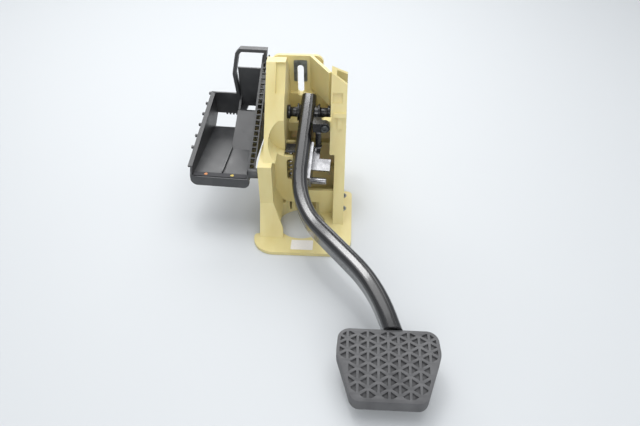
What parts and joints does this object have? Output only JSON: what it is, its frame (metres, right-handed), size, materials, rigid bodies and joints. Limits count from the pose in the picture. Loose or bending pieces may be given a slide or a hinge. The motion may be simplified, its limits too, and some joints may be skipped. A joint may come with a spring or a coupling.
{
  "type": "brake pedal",
  "caption": "Suspended brake pedal: bent tubular arm with a rubber tread pad, hung in a moulded bulkhead bracket with return spring, light switch and cable tray.",
  "frame": {"origin": "centre of the bracket's bulkhead face", "axes": "+Z away from the bulkhead towards the driver, +Y up along the bulkhead, +X to the driver's right; the bracket lies on its bulkhead face"},
  "size_m": [0.2819, 0.39, 0.183],
  "materials": {
    "cream_nylon": "moulded, satin",
    "black_nylon": "moulded, matt",
    "black_bush": "moulded, smooth",
    "arm_paint": "gloss black paint",
    "zinc_steel": "zinc plated",
    "dark_steel": "phosphated",
    "pad_rubber": "moulded rubber",
    "stop_rubber": "moulded rubber"
  },
  "bodies": {
    "bracket": {"pedal_bracket": "cream_nylon", "flange_sleeves": "zinc_steel", "slot_clip": "dark_steel", "bump_stop": "stop_rubber", "pivot_bolt": "dark_steel", "pivot_nut": "zinc_steel", "pivot_washers": "zinc_steel", "cheek_bush_left": "black_bush", "cheek_bush_right": "black_bush", "spacer_left": "dark_steel", "spacer_right": "dark_steel", "return_spring": "zinc_steel", "switch_holder": "black_nylon", "switch_body": "black_nylon", "switch_rings": "zinc_steel", "switch_screw": "zinc_steel", "cable_tray": "black_nylon", "tray_rivet": "black_bush"},
    "pedal": {"pedal_arm": "arm_paint", "hub_tube": "arm_paint", "hub_bush_left": "black_bush", "hub_bush_right": "black_bush", "pushrod_bracket": "zinc_steel", "pushrod_pin": "zinc_steel", "spring_lug": "arm_paint", "pad_plate": "arm_paint", "pedal_pad": "pad_rubber"},
    "plunger": {"switch_plunger": "black_bush"}
  },
  "joints": [
    {"name": "pedal_swing", "type": "hinge", "parent": "bracket", "child": "pedal", "pos_m": [0, 0.06, 0.119], "axis": [1, 0, 0], "range_deg": [0, 13], "stiffness_Nm_per_rad": 4, "springref_deg": -40.11, "deforming": ["return_spring"]},
    {"name": "plunger_travel", "type": "slide", "parent": "bracket", "child": "plunger", "axis": [0, 0, -1], "range_m": [0, 0.004]}
  ],
  "couplings": [
    {"joint": "plunger_travel", "follows": "pedal_swing", "m_per_rad": 0.017629}
  ]
}
